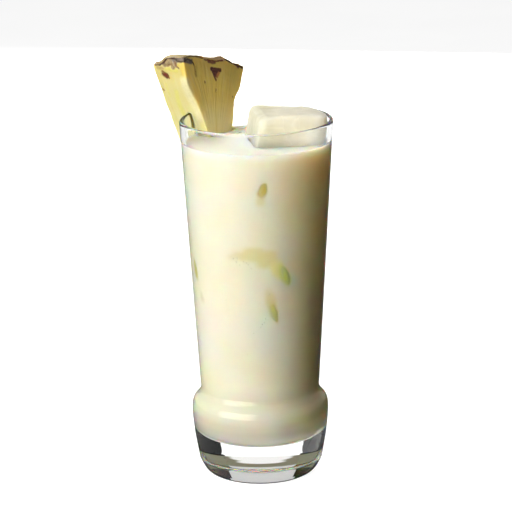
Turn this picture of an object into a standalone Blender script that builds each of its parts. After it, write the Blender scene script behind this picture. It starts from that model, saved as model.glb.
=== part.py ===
# Pineapple batida in its tall glass.
# A flared glass with a swollen, thick clear base holds a pale creamy drink. A block
# of cloudy ice stands in the drink, and a slit slice of pineapple straddles the rim.
# Metres, +Z up. The origin is the centre of the flat foot and Z is the glass's axis.
# +X is the right-hand side and +Y the back of the drink as it is served.

from math import cos, pi, radians, sin, sqrt

import bmesh
import bpy
from mathutils import Matrix, Vector, noise
from mathutils.geometry import interpolate_bezier

# Glass
RIM_RADIUS = 0.0365
RIM_HEIGHT = 0.1739
RIM_ROUND = 0.0011
WALL = 0.0022
NECK_RADIUS = 0.0285
NECK_HEIGHT = 0.0430
BULGE_RADIUS = 0.03285
BULGE_HEIGHT = 0.0326
HEEL_RADIUS = 0.0287
HEEL_HEIGHT = 0.0060
FOOT_RADIUS = 0.0235
DISH = (
    (0.0, 0.0176), (0.0090, 0.0178), (0.0150, 0.0184),
    (0.0205, 0.0204), (0.0250, 0.0237), (0.0282, 0.0280),
)
BULGE_WALL = 0.0030
BULGE_TOP = 0.0460
FLARE_START = 0.0620
GLASS_STEPS = 60

# Drink
DRINK_LEVEL = 0.1626
GAP = 0.0003

# Ice block: its plan, where its foot stands, and how far its side nears the wall
ICE_WIDTH = 0.0420
ICE_DEPTH = 0.0325
ICE_FOOT = (0.0130, 0.0055, 0.1370)
ICE_TURN = radians(9.0)
ICE_HEIGHT_FRONT = (0.0395, 0.0400)
ICE_HEIGHT_BACK = (0.0405, 0.0376)
ICE_LEAN = 0.0070
ICE_EDGE = 0.0032
ICE_REACH = 0.0340
ICE_UNDERCUT = 0.15
ICE_BUMP = 0.0004
ICE_WAVE = 130.0
ICE_CUTS = 9

# Pineapple slice: placed by the point where the rim meets the top of its slit.
# Its own X points out of the glass, Y to the side cut in the light, Z to the rind.
SLICE_AZIMUTH = radians(141.8)
SLICE_LEAN = radians(8.8)
SLICE_ROLL = radians(10.7)
SLICE_OUTSIDE = 0.0111
SLICE_INSIDE = 0.0083
SLICE_TIP = -0.0190
LIT_EDGE = ((-0.0190, -0.0012), (0.0210, 0.0196), (0.0280, 0.0200))
SHADED_EDGE = ((-0.0190, -0.0142), (0.0055, -0.0180), (0.0105, -0.0220), (0.0200, -0.0253))
LIT_SWELL = 0.0026
LIT_SWELL_HEIGHT = 0.0110
LIT_SWELL_REACH = 0.0120
RIND_RADIUS = 0.0519
RIND_CENTRE = (-0.0035, -0.0265)
LIP_RISE = 0.0047
LIP_START = 0.0030
LIP_LENGTH = 0.0160
LIP_SHOULDER = 0.0040
LIP_FALL = 0.0050
EYE_PITCH = 0.0165
EYE_RELIEF = 0.0006
FLESH_BUMP = 0.00025
FLESH_WAVE = 160.0
RIND_CRAG = 420.0
SLIT_FOOT = 0.1480
SLICE_CUTS = (8, 15, 15)
FIT_ROUNDS = 4


def clear_scene():
    for old in list(bpy.data.objects):
        bpy.data.objects.remove(old, do_unlink=True)


def new_collection(name):
    collection = bpy.data.collections.new(name)
    bpy.context.scene.collection.children.link(collection)
    return collection


def finish_material(name, colour, roughness, transmission=0.0, ior=1.45):
    material = bpy.data.materials.new(name)
    material.use_nodes = True
    shader = material.node_tree.nodes["Principled BSDF"]
    shader.inputs["Base Color"].default_value = (*colour, 1.0)
    shader.inputs["Metallic"].default_value = 0.0
    shader.inputs["Roughness"].default_value = roughness
    shader.inputs["Transmission Weight"].default_value = transmission
    shader.inputs["IOR"].default_value = ior
    material.diffuse_color = (*colour, 1.0)
    return material


def smooth_run(points, chords):
    # A smooth curve through (radius, height) points, with `chords` chords in each span
    knots = [Vector(point) for point in points]
    last = len(knots) - 1
    tangents = [
        (knots[min(i + 1, last)] - knots[max(i - 1, 0)]).normalized() for i in range(last + 1)
    ]
    run = []
    for i in range(last):
        start, end = knots[i], knots[i + 1]
        reach = (end - start).length / 3
        run += interpolate_bezier(
            start, start + tangents[i] * reach, end - tangents[i + 1] * reach, end, chords + 1
        )[:-1]
    return [(point.x, point.y) for point in run] + [points[-1]]


def outer_radius(height):
    # The straight flare between the neck and the rim
    rise = (height - NECK_HEIGHT) / (RIM_HEIGHT - RIM_ROUND - NECK_HEIGHT)
    return NECK_RADIUS + (RIM_RADIUS - NECK_RADIUS) * rise


def inner_radius(height):
    return outer_radius(height) - WALL


def rim_arc(grow=0.0):
    # Over the rounded rim, from its inner side to its outer side
    centre = RIM_RADIUS - RIM_ROUND
    height = RIM_HEIGHT - RIM_ROUND
    radius = RIM_ROUND + grow
    angles = [pi - pi * i / 6 for i in range(7)]
    return [(centre + radius * cos(a), height + radius * sin(a)) for a in angles]


def inner_bulge():
    # Up the inside, from the middle of the dished floor through the bulge to the neck
    widest = BULGE_RADIUS - BULGE_WALL
    return smooth_run(
        DISH + (
            (widest, BULGE_HEIGHT - 0.0006),
            (widest - 0.0012, 0.0368),
            (inner_radius(NECK_HEIGHT) + 0.0001, 0.0405),
            (inner_radius(BULGE_TOP) - 0.0002, BULGE_TOP),
        ),
        2,
    )


def outer_bulge():
    # Down the outside, from the neck over the bulge to the flat foot
    return smooth_run(
        (
            (outer_radius(BULGE_TOP), BULGE_TOP),
            (NECK_RADIUS, NECK_HEIGHT - 0.0006),
            (0.0297, 0.0398),
            (0.0320, 0.0370),
            (BULGE_RADIUS, BULGE_HEIGHT),
            (0.0319, 0.0210),
            (0.0298, 0.0100),
            (HEEL_RADIUS, HEEL_HEIGHT),
            (0.0274, 0.0030),
            (FOOT_RADIUS, 0.0),
        ),
        2,
    )


def glass_profile():
    inside = inner_bulge() + [(inner_radius(FLARE_START), FLARE_START)]
    outside = [(outer_radius(FLARE_START), FLARE_START)] + outer_bulge()
    return inside + rim_arc() + outside + [(0.0, 0.0)]


def drink_profile():
    # The same inside, a gap smaller all over, and flat at the level of the drink
    top = DRINK_LEVEL
    side = [(max(radius - GAP, 0.0), height + GAP) for radius, height in inner_bulge()]
    flare = [(inner_radius(z) - GAP, z) for z in (FLARE_START, top)]
    return [(0.0, top)] + list(reversed(side + flare))


def slit_profile():
    # The wall of the glass near its rim with a gap all round, which the slice sits over
    inside = [(inner_radius(SLIT_FOOT) - GAP, SLIT_FOOT)]
    outside = [(outer_radius(SLIT_FOOT) + GAP, SLIT_FOOT)]
    return inside + rim_arc(GAP) + outside


def turned(name, profile, closed=False):
    mesh = bpy.data.meshes.new(name)
    edges = [(i, i + 1) for i in range(len(profile) - 1)]
    if closed:
        edges.append((len(profile) - 1, 0))
    mesh.from_pydata([(radius, 0.0, height) for radius, height in profile], edges, [])
    thing = bpy.data.objects.new(name, mesh)
    screw = thing.modifiers.new("Turn", "SCREW")
    screw.angle = 2 * pi
    screw.steps = GLASS_STEPS
    screw.render_steps = GLASS_STEPS
    screw.use_merge_vertices = True
    screw.merge_threshold = 0.00001
    screw.use_smooth_shade = True
    return thing


def box_grid(cuts):
    # A unit cube about the origin, cut into a grid of quads along each axis
    grid = bmesh.new()
    bmesh.ops.create_cube(grid, size=1.0)
    for axis, count in enumerate(cuts):
        along = []
        for edge in grid.edges:
            step = edge.verts[1].co - edge.verts[0].co
            if abs(step[axis]) > 0.5 * step.length:
                along.append(edge)
        bmesh.ops.subdivide_edges(grid, edges=along, cuts=count, use_grid_fill=True)
    return grid


def solid_from(name, grid):
    mesh = bpy.data.meshes.new(name)
    bmesh.ops.recalc_face_normals(grid, faces=grid.faces)
    grid.to_mesh(mesh)
    grid.free()
    mesh.shade_smooth()
    mesh.set_sharp_from_angle(angle=radians(40.0))
    return bpy.data.objects.new(name, mesh)


def blend_in(value):
    share = min(max(value, 0.0), 1.0)
    return share * share * (3 - 2 * share)


def along_edge(height, edge):
    # Where one side of the slice is at this height, along its straight runs
    low = edge[0]
    for high in edge[1:]:
        if height <= high[0] or high is edge[-1]:
            share = (height - low[0]) / (high[0] - low[0])
            return low[1] + (high[1] - low[1]) * share
        low = high


def rind_height(across, side):
    # The rind's arc, the lip that rolls up at the lit side, and its eyes
    arc = sqrt(RIND_RADIUS**2 - (side - RIND_CENTRE[0]) ** 2) + RIND_CENTRE[1]
    outward = blend_in((across - LIP_SHOULDER) / LIP_FALL)
    lip = LIP_RISE * blend_in((side - LIP_START) / LIP_LENGTH) * (1 - 0.5 * outward)
    eyes = cos(2 * pi * side / EYE_PITCH) * cos(2 * pi * across / EYE_PITCH)
    crag = noise.noise(Vector((across, side, 0.0)) * RIND_CRAG)
    return arc + lip + EYE_RELIEF * (eyes + crag)


def pineapple_slice(name, grow=0.0):
    grid = box_grid(SLICE_CUTS)
    for vertex in grid.verts:
        along, side, up = (part + 0.5 for part in vertex.co)
        across = -SLICE_INSIDE + (SLICE_INSIDE + SLICE_OUTSIDE) * along
        width = 0.0
        for _ in range(FIT_ROUNDS):
            height = SLICE_TIP + (rind_height(across, width) - SLICE_TIP) * up
            lit = along_edge(height, LIT_EDGE)
            swell = 1 - abs(height - LIT_SWELL_HEIGHT) / LIT_SWELL_REACH
            lit += LIT_SWELL * blend_in(swell) * (1 - along)
            shaded = along_edge(height, SHADED_EDGE)
            width = shaded + (lit - shaded) * side
        spot = Vector((across, width, height))
        wave = FLESH_BUMP * noise.noise(spot * FLESH_WAVE)
        outward = Vector((2 * along - 1, 2 * side - 1, 2 * up - 1))
        vertex.co = spot + outward * (wave + grow)
    slice_object = solid_from(name, grid)
    seat = RIM_RADIUS - RIM_ROUND
    slice_object.location = (seat * cos(SLICE_AZIMUTH), seat * sin(SLICE_AZIMUTH), RIM_HEIGHT)
    slice_object.rotation_euler = (SLICE_ROLL, SLICE_LEAN, SLICE_AZIMUTH)
    return slice_object


def ice_height(right, back):
    # How high the uneven top is, between its four corners; right and back run from -1 to 1
    share = (right + 1) / 2
    front = ICE_HEIGHT_FRONT[0] + (ICE_HEIGHT_FRONT[1] - ICE_HEIGHT_FRONT[0]) * share
    rear = ICE_HEIGHT_BACK[0] + (ICE_HEIGHT_BACK[1] - ICE_HEIGHT_BACK[0]) * share
    return front + (rear - front) * (back + 1) / 2


def share_in_reach(start, run, reach):
    # How much of the run from `start` lies within this distance of the glass's axis
    ahead = start.dot(run)
    room = ahead * ahead - run.length_squared * (start.length_squared - reach * reach)
    return min(1.0, (sqrt(room) - ahead) / run.length_squared)


def ice_block(name, grow=0.0):
    grid = box_grid((ICE_CUTS, ICE_CUTS, ICE_CUTS))
    half = Vector((ICE_WIDTH, ICE_DEPTH, ICE_HEIGHT_FRONT[0])) / 2
    foot = Vector(ICE_FOOT[:2])
    turn = Matrix.Rotation(ICE_TURN, 2)
    for vertex in grid.verts:
        spot = Vector(2 * unit * size for unit, size in zip(vertex.co, half))
        core = Vector(max(ICE_EDGE - h, min(h - ICE_EDGE, c)) for c, h in zip(spot, half))
        away = (spot - core).normalized()
        spot = core + away * (ICE_EDGE + ICE_BUMP * noise.noise(spot * ICE_WAVE) + grow)
        up = (spot.z / half.z + 1) / 2
        height = ICE_FOOT[2] + up * ice_height(spot.x / half.x, spot.y / half.y)
        left = Vector((ICE_LEAN * up - half.x, spot.y))
        run = Vector((ICE_WIDTH, 0.0))
        reach = ICE_REACH - ICE_UNDERCUT * max(0.0, RIM_HEIGHT - height)
        within = share_in_reach(foot + turn @ left, turn @ run, reach)
        plan = foot + turn @ (left + run * within * (spot.x / half.x + 1) / 2)
        vertex.co = (plan.x, plan.y, height)
    return solid_from(name, grid)


def cut_by(thing, cutter):
    boolean = thing.modifiers.new("Cut by " + cutter.name, "BOOLEAN")
    boolean.operation = "DIFFERENCE"
    boolean.solver = "EXACT"
    boolean.object = cutter


def as_cutter(cutter, collection):
    collection.objects.link(cutter)
    cutter.hide_render = True
    cutter.display_type = "WIRE"
    return cutter


def main():
    clear_scene()
    served = new_collection("pineapple_batida")
    cutters = new_collection("cutters")

    glass = turned("glass", glass_profile())
    drink = turned("drink", drink_profile())
    ice = ice_block("ice_block")
    fruit = pineapple_slice("pineapple_slice")

    rim_slit = as_cutter(turned("rim_slit", slit_profile(), closed=True), cutters)
    ice_room = as_cutter(ice_block("ice_room", GAP), cutters)
    fruit_room = as_cutter(pineapple_slice("fruit_room", GAP), cutters)
    cut_by(fruit, rim_slit)
    cut_by(drink, ice_room)
    cut_by(drink, fruit_room)

    finishes = (
        (glass, finish_material("clear_glass", (0.96, 0.98, 0.98), 0.02, 1.0, 1.52)),
        (drink, finish_material("creamy_drink", (0.88, 0.84, 0.69), 0.30)),
        (ice, finish_material("cloudy_ice", (0.86, 0.85, 0.78), 0.15, 0.4, 1.31)),
        (fruit, finish_material("pineapple_flesh", (0.83, 0.70, 0.27), 0.45)),
    )
    for thing, material in finishes:
        thing.data.materials.append(material)
        served.objects.link(thing)


main()
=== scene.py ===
# Pineapple batida: a creamy drink in a tall glass, with ice and a pineapple slice
import random
from math import cos, hypot, pi, radians, sin

import bpy
import numpy as np
from mathutils import Matrix, Vector, noise
from mathutils.geometry import interpolate_bezier


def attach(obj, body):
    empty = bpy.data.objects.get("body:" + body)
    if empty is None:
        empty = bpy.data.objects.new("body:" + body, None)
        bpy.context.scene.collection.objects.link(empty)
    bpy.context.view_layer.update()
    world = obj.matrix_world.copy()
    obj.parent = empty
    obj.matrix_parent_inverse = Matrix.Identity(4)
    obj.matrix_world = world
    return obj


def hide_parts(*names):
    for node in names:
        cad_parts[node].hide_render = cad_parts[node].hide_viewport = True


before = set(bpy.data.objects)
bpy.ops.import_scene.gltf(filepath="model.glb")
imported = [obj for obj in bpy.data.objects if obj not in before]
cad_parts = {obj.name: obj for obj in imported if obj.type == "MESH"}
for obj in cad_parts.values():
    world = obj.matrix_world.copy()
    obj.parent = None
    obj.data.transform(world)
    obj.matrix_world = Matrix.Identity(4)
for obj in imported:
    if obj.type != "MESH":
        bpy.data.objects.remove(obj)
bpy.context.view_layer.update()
random.seed(7)

making = {
    "spinMerge": 0.000004,
    "nodeMerge": 0.000005,
    "smoothUnder": radians(50),
}


def startFresh():
    if bpy.context.object and bpy.context.object.mode != "OBJECT":
        bpy.ops.object.mode_set(mode="OBJECT")
    bpy.ops.object.select_all(action="DESELECT")


def choose(thing):
    startFresh()
    thing.select_set(True)
    bpy.context.view_layer.objects.active = thing


def nameIt(thing, name):
    thing.name = name
    thing.data.name = name
    return thing


def smoothRun(points, chords):
    # The same smooth curve as in the part's source, with more chords
    knots = [Vector(point) for point in points]
    last = len(knots) - 1
    tangents = [
        (knots[min(i + 1, last)] - knots[max(i - 1, 0)]).normalized() for i in range(last + 1)
    ]
    run = []
    for i in range(last):
        start, end = knots[i], knots[i + 1]
        reach = (end - start).length / 3
        run += interpolate_bezier(
            start, start + tangents[i] * reach, end - tangents[i + 1] * reach, end, chords + 1
        )[:-1]
    return [(point.x, point.y) for point in run] + [points[-1]]


def drawProfile(name, points):
    # A plane merged to one vertex, then extruded from point to point
    startFresh()
    bpy.ops.mesh.primitive_plane_add(size=0.01, location=(0, 0, 0))
    drawn = nameIt(bpy.context.object, name)
    bpy.ops.object.mode_set(mode="EDIT")
    bpy.ops.mesh.select_all(action="SELECT")
    bpy.ops.mesh.merge(type="CENTER")
    bpy.ops.transform.translate(value=(points[0][0], 0, points[0][1]))
    for last, here in zip(points, points[1:]):
        step = (here[0] - last[0], 0, here[1] - last[1])
        bpy.ops.mesh.extrude_region_move(TRANSFORM_OT_translate={"value": step})
    return drawn


def finishEdit(mergeWithin=0.0):
    # Merges what lies together, turns the faces outward and leaves edit mode
    bpy.ops.mesh.select_all(action="SELECT")
    if mergeWithin:
        bpy.ops.mesh.remove_doubles(threshold=mergeWithin)
    bpy.ops.mesh.normals_make_consistent(inside=False)
    bpy.ops.object.mode_set(mode="OBJECT")


def spinProfile(drawn, steps):
    # Turned about the upright axis, with its seam and poles closed
    bpy.ops.mesh.select_all(action="SELECT")
    bpy.ops.mesh.spin(steps=steps, angle=2 * pi, center=(0, 0, 0), axis=(0, 0, 1))
    finishEdit(making["spinMerge"])
    bpy.ops.object.shade_smooth_by_angle(angle=making["smoothUnder"])
    return drawn


def applyAll(thing):
    choose(thing)
    for modifier in list(thing.modifiers):
        bpy.ops.object.modifier_apply(modifier=modifier.name)


def copyNode(node, name):
    # A merged copy of a CAD solid, as the start of the piece that replaces it
    choose(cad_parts[node])
    bpy.ops.object.duplicate()
    copied = nameIt(bpy.context.object, name)
    copied.data.materials.clear()
    bpy.ops.object.mode_set(mode="EDIT")
    finishEdit(making["nodeMerge"])
    return copied


def addEven(thing, voxel, passes):
    # Even small faces, then softened
    shape = thing.modifiers.new("even", "REMESH")
    shape.mode = "VOXEL"
    shape.voxel_size = voxel
    soften = thing.modifiers.new("soften", "SMOOTH")
    soften.iterations = passes


def newFinish(name):
    finish = bpy.data.materials.new(name)
    finish.use_nodes = True
    return finish, finish.node_tree, finish.node_tree.nodes["Principled BSDF"]


def addNode(tree, kind, inputs=None, **settings):
    made = tree.nodes.new("ShaderNode" + kind)
    for key, value in settings.items():
        setattr(made, key, value)
    for key, value in (inputs or {}).items():
        if isinstance(value, bpy.types.NodeSocket):
            tree.links.new(value, made.inputs[key])
        else:
            made.inputs[key].default_value = value
    return made


def maths(tree, operation, first, second=0.0, third=0.0, clamp=False):
    made = addNode(tree, "Math", {0: first, 1: second, 2: third}, operation=operation)
    made.use_clamp = clamp
    return made.outputs[0]


def mixed(tree, share, first, second, blend="MIX"):
    made = addNode(tree, "Mix", data_type="RGBA", blend_type=blend)
    for slot, value in ((0, share), (6, first), (7, second)):
        if isinstance(value, bpy.types.NodeSocket):
            tree.links.new(value, made.inputs[slot])
        elif slot:
            made.inputs[slot].default_value = (*value[:3], 1.0)
        else:
            made.inputs[slot].default_value = value
    return made.outputs[2]


def ranged(tree, value, low, high, start=0.0, end=1.0, kind="SMOOTHSTEP"):
    made = addNode(tree, "MapRange", {0: value, 1: low, 2: high, 3: start, 4: end})
    made.interpolation_type = kind
    return made.outputs[0]


def grain(tree, spot, scale, detail=2.0, rough=0.5):
    made = addNode(tree, "TexNoise", {"Vector": spot, "Scale": scale, "Detail": detail, "Roughness": rough})
    return made.outputs["Fac"]


def setShader(shader, **values):
    for key, value in values.items():
        shader.inputs[key.replace("_", " ")].default_value = value


def objectSpot(tree):
    return addNode(tree, "TexCoord").outputs["Object"]


def axesOf(tree, vector):
    return addNode(tree, "SeparateXYZ", {0: vector}).outputs


def vectors(tree, operation, first, second):
    # The second is a vector, or the factor of a SCALE
    slot = 3 if operation == "SCALE" else 1
    return addNode(tree, "VectorMath", {0: first, slot: second}, operation=operation).outputs[0]


def lengthOf(tree, vector):
    return addNode(tree, "VectorMath", {0: vector}, operation="LENGTH").outputs["Value"]


def stretched(tree, vector, scale, turn=(0, 0, 0)):
    return addNode(tree, "Mapping", {"Vector": vector, "Rotation": turn, "Scale": scale}).outputs[0]


def addBump(tree, shader, height, strength, distance):
    bump = addNode(tree, "Bump", {"Height": height, "Strength": strength, "Distance": distance})
    tree.links.new(bump.outputs[0], shader.inputs["Normal"])


studio = {
    "cameraPlace": (0.0, -1.5, 0.4932),
    "pitchDown": 0.2521,
    "yaw": 0.0007,
    "roll": -0.0149,
    "lens": 227.6,
    "sensor": 36.0,
    "farthest": 50.0,
    "aim": (0, 0, 0.09),
    "aimHigh": (0, 0, 0.16),
    "softboxAzimuth": radians(46),  # to the left of the front
    "softboxHeight": radians(17),
    "softboxDistance": 1.0,
    "softboxSize": (1.1, 0.7),
    "softboxPower": 22.4,
    "shineAzimuth": radians(42),  # the same window as the glass mirrors it, with soft edges
    "shinePower": 22.0,
    "shineSize": (1.6, 1.1),
    "softboxInGlass": 0.24,  # how strongly reflections within the glass show it
    "fillPlace": (0.15, -0.17, 0.33),
    "fillPower": 0.0062,
    "fillSize": 0.06,
    "fillSpread": radians(31),  # a narrow beam on the upper right
    "fillColour": (1.0, 0.66, 0.32),
    "backPlace": (0.16, 1.0, 0.30),  # a softer lamp that lights the back
    "backSize": (0.5, 0.6),
    "backPower": 13.0,
    "topPlace": (-0.12, 0.22, 0.80),
    "topPower": 2.85,
    "topSize": 0.30,
    "surround": (0.0050, 0.0032, 0.0020),  # what lights the object from all round
    "backdrop": 0.96,
    "backdropColour": (1, 0.99, 0.97),
    "throughGlass": 0.97,  # the backdrop as the clear glass shows it
    "aboveInReflections": 0.50,
    "floorInReflections": 0.03,
    "inGlass": 0.16,  # what reflections within the clear glass see
    "band": (0.22, 0.21, 0.145),  # an olive strip of the backdrop that only the base shows
    "bandRise": (0.045, 0.060, 0.200, 0.218),
    "overBand": (0.68, 0.675, 0.67),  # and the paler grey above it
    "overhead": (0.04, 0.04, 0.05),  # what the glass shows from still higher up
    "overheadRise": (0.43, 0.47),
    "floorSize": 9.0,
    "floorHeight": -0.0002,
    "floorColour": (0.34, 0.34, 0.335),
    "floorGlow": 0.90,
    "floorBounce": 0.006,
    "footBounce": 0.55,  # light that reaches the drink from under the foot
    "footReach": (0.028, 0.060),
}


def areaLight(name, place, aim, size, power):
    facing = (Vector(place) - Vector(aim)).to_track_quat("Z", "Y").to_euler()
    bpy.ops.object.light_add(type="AREA", location=place, rotation=facing)
    lamp = nameIt(bpy.context.object, name)
    lamp.data.shape = "RECTANGLE"
    lamp.data.size, lamp.data.size_y = size
    lamp.data.energy = power
    lamp.visible_camera = False
    return lamp


def softenEdges(lamp):
    # Brightest in its middle, so that its mirror image has no hard edge
    lamp.data.use_nodes = True
    tree = lamp.data.node_tree
    shares = []
    for axis in axesOf(tree, addNode(tree, "NewGeometry").outputs["Parametric"])[:2]:
        away = maths(tree, "ABSOLUTE", maths(tree, "SUBTRACT", axis, 0.5))
        shares.append(ranged(tree, away, 0.22, 0.5, 1.0, 0.0))
    share = maths(tree, "MULTIPLY", *shares)
    tree.links.new(share, tree.nodes["Emission"].inputs["Strength"])


def dimInGlass(lamp, bounces, left):
    # Dimmed where the clear glass mirrors it or shows it before any matt surface does
    lamp.data.use_nodes = True
    tree = lamp.data.node_tree
    path = addNode(tree, "LightPath").outputs
    clean = maths(tree, "SUBTRACT", 1.0, path["Diffuse Depth"], clamp=True)
    within = maths(tree, "MULTIPLY", maths(tree, "MINIMUM", path[bounces], 1.0), clean)
    share = ranged(tree, within, 0, 1, 1.0, left, "LINEAR")
    tree.links.new(share, tree.nodes["Emission"].inputs["Strength"])


def mirrorShare(tree, path, outside):
    # What reflections see of the studio, outside the clear glass and within it
    bounced = maths(tree, "SUBTRACT", path["Is Glossy Ray"], path["Is Transmission Ray"], clamp=True)
    within = maths(tree, "MINIMUM", path["Transmission Depth"], 1.0)
    seen = maths(tree, "MULTIPLY_ADD", within, studio["inGlass"] - outside, outside)
    return bounced, maths(tree, "MULTIPLY", bounced, seen)


def buildCamera():
    turn = (
        Matrix.Rotation(studio["yaw"], 4, "Z")
        @ Matrix.Rotation(pi / 2 - studio["pitchDown"], 4, "X")
        @ Matrix.Rotation(studio["roll"], 4, "Z")
    )
    bpy.ops.object.camera_add(location=studio["cameraPlace"], rotation=turn.to_euler())
    camera = nameIt(bpy.context.object, "photoCamera")
    camera.data.lens = studio["lens"]
    camera.data.sensor_width = studio["sensor"]
    camera.data.clip_end = studio["farthest"]
    bpy.context.scene.camera = camera
    bpy.context.scene.view_settings.view_transform = "Standard"
    print("camera placed")


def buildLamps():
    aim, height = Vector(studio["aim"]), studio["softboxHeight"]
    for name in ("softbox", "shine"):
        azimuth = studio[name + "Azimuth"]
        away = Vector((-sin(azimuth) * cos(height), -cos(azimuth) * cos(height), sin(height)))
        place = aim + away * studio["softboxDistance"]
        lamp = areaLight(name, place, aim, studio[name + "Size"], studio[name + "Power"])
        lamp.visible_glossy = name == "shine"
        lamp.visible_diffuse = name == "softbox"
        lamp.visible_transmission = name == "softbox"
        if name == "softbox":
            dimInGlass(lamp, "Glossy Depth", studio["softboxInGlass"])
        else:
            softenEdges(lamp)

    back = areaLight("backLamp", studio["backPlace"], aim, studio["backSize"], studio["backPower"])
    back.visible_glossy = False
    dimInGlass(back, "Transmission Depth", 0.0)
    high = studio["aimHigh"]
    areaLight("topLight", studio["topPlace"], high, (studio["topSize"],) * 2, studio["topPower"])
    size = (studio["fillSize"],) * 2
    fill = areaLight("warmFill", studio["fillPlace"], high, size, studio["fillPower"])
    fill.data.spread = studio["fillSpread"]
    fill.data.color = studio["fillColour"]
    fill.visible_glossy = False
    print("lamps: softbox and its shine, back, top and warm fill")


def buildWorld():
    world = bpy.data.worlds.new("paleStudio")
    bpy.context.scene.world = world
    world.use_nodes = True
    tree = world.node_tree
    path = addNode(tree, "LightPath").outputs
    clean = maths(tree, "SUBTRACT", 1.0, path["Diffuse Depth"], clamp=True)
    seen = maths(tree, "MULTIPLY", path["Is Camera Ray"], studio["backdrop"])
    through = maths(tree, "MULTIPLY", path["Is Transmission Ray"], studio["throughGlass"])
    mirrored = mirrorShare(tree, path, studio["aboveInReflections"])[1]
    light = maths(tree, "MAXIMUM", maths(tree, "MAXIMUM", seen, through), mirrored)
    light = maths(tree, "MULTIPLY", light, clean)
    rise = axesOf(tree, addNode(tree, "TexCoord").outputs["Generated"])[2]
    low, start, end, high = studio["bandRise"]
    strip = mixed(tree, ranged(tree, rise, end, high), studio["band"], studio["overBand"])
    strip = mixed(tree, ranged(tree, rise, *studio["overheadRise"]), strip, studio["overhead"])
    band = maths(tree, "MULTIPLY", ranged(tree, rise, low, start), path["Is Transmission Ray"])
    paint = mixed(tree, band, studio["backdropColour"], strip)
    both = vectors(tree, "ADD", vectors(tree, "SCALE", paint, light), studio["surround"])
    tree.links.new(both, tree.nodes["Background"].inputs["Color"])
    print("backdrop built")


def buildFloor():
    bpy.ops.mesh.primitive_plane_add(size=studio["floorSize"], location=(0, 0, studio["floorHeight"]))
    floor = nameIt(bpy.context.object, "floor")
    paint, tree, shader = newFinish("palePaper")
    path = addNode(tree, "LightPath").outputs
    spot = objectSpot(tree)
    away = lengthOf(tree, spot)
    bounce = ranged(tree, away, *studio["footReach"], studio["footBounce"], studio["floorBounce"])
    bounce = maths(tree, "MULTIPLY", bounce, maths(tree, "MINIMUM", path["Diffuse Depth"], 1.0))
    clean = maths(tree, "SUBTRACT", 1.0, path["Diffuse Depth"], clamp=True)
    bounced, mirrored = mirrorShare(tree, path, studio["floorInReflections"])
    direct = maths(tree, "SUBTRACT", 1.0, bounced)
    clean = maths(tree, "MULTIPLY", clean, maths(tree, "MAXIMUM", direct, mirrored))
    share = maths(tree, "MAXIMUM", clean, bounce)
    fibre = ranged(tree, grain(tree, spot, 9.0, 3.0), 0.3, 0.7, 0.985, 1.0)
    share = maths(tree, "MULTIPLY", share, fibre)
    paper = vectors(tree, "SCALE", studio["floorColour"], share)
    tree.links.new(paper, shader.inputs["Base Color"])
    tree.links.new(maths(tree, "MULTIPLY", share, studio["floorGlow"]), shader.inputs["Emission Strength"])
    setShader(shader, Roughness=0.8, Specular_IOR_Level=0.0, Emission_Color=(1, 1, 1, 1))
    floor.data.materials.append(paint)
    print("floor built")


buildCamera()
buildLamps()
buildWorld()
buildFloor()

# Dark cards that only the clear glass sees, as beside a product shot
cards = {
    "rightBack": {"from": 12.5, "to": 85, "dark": 0.006, "over": 0.045},
    "leftBack": {"from": -85, "to": -14.6, "dark": 0.0, "over": 0.0},
}
cardSize = {
    "near": 0.0245,
    "far": 0.125,
    "low": 0.0004,
    "high": 0.085,
    "olive": (0.23, 0.23, 0.16),
    "oliveRise": (0.0135, 0.0155, 0.0330, 0.0355),  # its lower edge, then its upper one
}


def buildCard(name, size):
    # A strip that lies on the floor and widens outward, with a wall at its far end
    startFresh()
    middle = radians(size["from"] + size["to"]) / 2
    half = radians(size["to"] - size["from"]) / 2
    reach = size["far"] - size["near"]
    bpy.ops.mesh.primitive_plane_add(size=1, location=(0, 0, 0))
    card = nameIt(bpy.context.object, name)
    bpy.ops.transform.resize(value=(2 * size["far"] * sin(half), reach, 1))
    bpy.ops.transform.translate(value=(0, size["near"] + reach / 2, size["low"]))
    bpy.ops.object.transform_apply(location=True, rotation=True, scale=True)
    bpy.ops.object.mode_set(mode="EDIT")
    bpy.ops.mesh.select_all(action="DESELECT")
    bpy.ops.object.mode_set(mode="OBJECT")
    for vertex in card.data.vertices:
        if vertex.co.y < size["near"] + reach / 2:
            vertex.co.x *= size["near"] / size["far"]
        else:
            vertex.select = True
    for edge in card.data.edges:
        edge.select = all(card.data.vertices[i].select for i in edge.vertices)
    bpy.ops.object.mode_set(mode="EDIT")
    up = (0, 0, size["high"] - size["low"])
    bpy.ops.mesh.extrude_region_move(TRANSFORM_OT_translate={"value": up})
    bpy.ops.object.mode_set(mode="OBJECT")
    card.rotation_euler.z = -middle
    choose(card)
    bpy.ops.object.transform_apply(location=True, rotation=True, scale=True)
    paint, tree, shader = newFinish(name + "Paint")
    rise = axesOf(tree, objectSpot(tree))[2]
    low, start, end, high = size["oliveRise"]
    tone = mixed(tree, ranged(tree, rise, low, start), (size["dark"],) * 3, size["olive"])
    tone = mixed(tree, ranged(tree, rise, end, high), tone, (size["over"],) * 3)
    tree.links.new(tone, shader.inputs["Emission Color"])
    setShader(shader, Base_Color=(0.003, 0.003, 0.004, 1), Roughness=1.0)
    setShader(shader, Emission_Strength=1.0, Specular_IOR_Level=0.0)
    card.data.materials.append(paint)
    card.visible_camera = False
    card.visible_diffuse = False
    card.visible_glossy = False
    card.visible_shadow = False


for name, own in cards.items():
    buildCard(name, {**cardSize, **own})
print("cards:", len(cards))

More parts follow.
